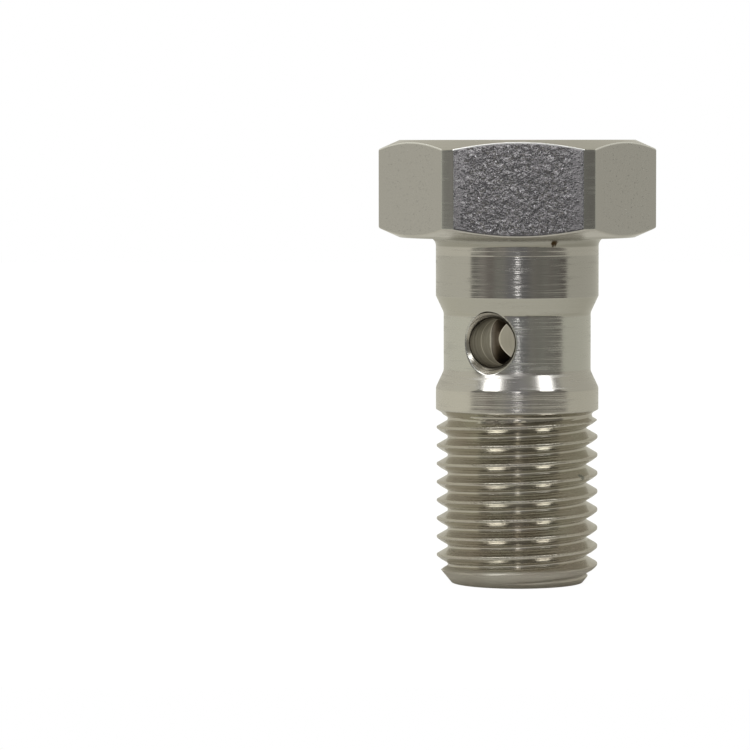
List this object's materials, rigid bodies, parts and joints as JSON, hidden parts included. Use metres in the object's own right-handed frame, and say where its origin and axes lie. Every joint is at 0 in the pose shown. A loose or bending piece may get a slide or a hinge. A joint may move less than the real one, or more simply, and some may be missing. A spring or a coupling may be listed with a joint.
{
  "type": "banjo bolt",
  "caption": "Hexagon head banjo bolt with a necked, cross-drilled waist and a blind bore up through its threaded tip.",
  "frame": {"origin": "centre of the flat tip face, which the bolt stands on", "axes": "+Z along the bolt's axis from the tip to the head; one flat of the hexagon faces -Y, and two of its corners lie on the X axis"},
  "size_m": [0.016, 0.0142, 0.0256],
  "materials": {
    "bright_steel": "bright turned and tumbled steel with a thin nickel-like lustre, fine turning rings on the shank, granular front flats on the head"
  },
  "bodies": {
    "root": {"banjo_bolt": "bright_steel"}
  },
  "joints": []
}
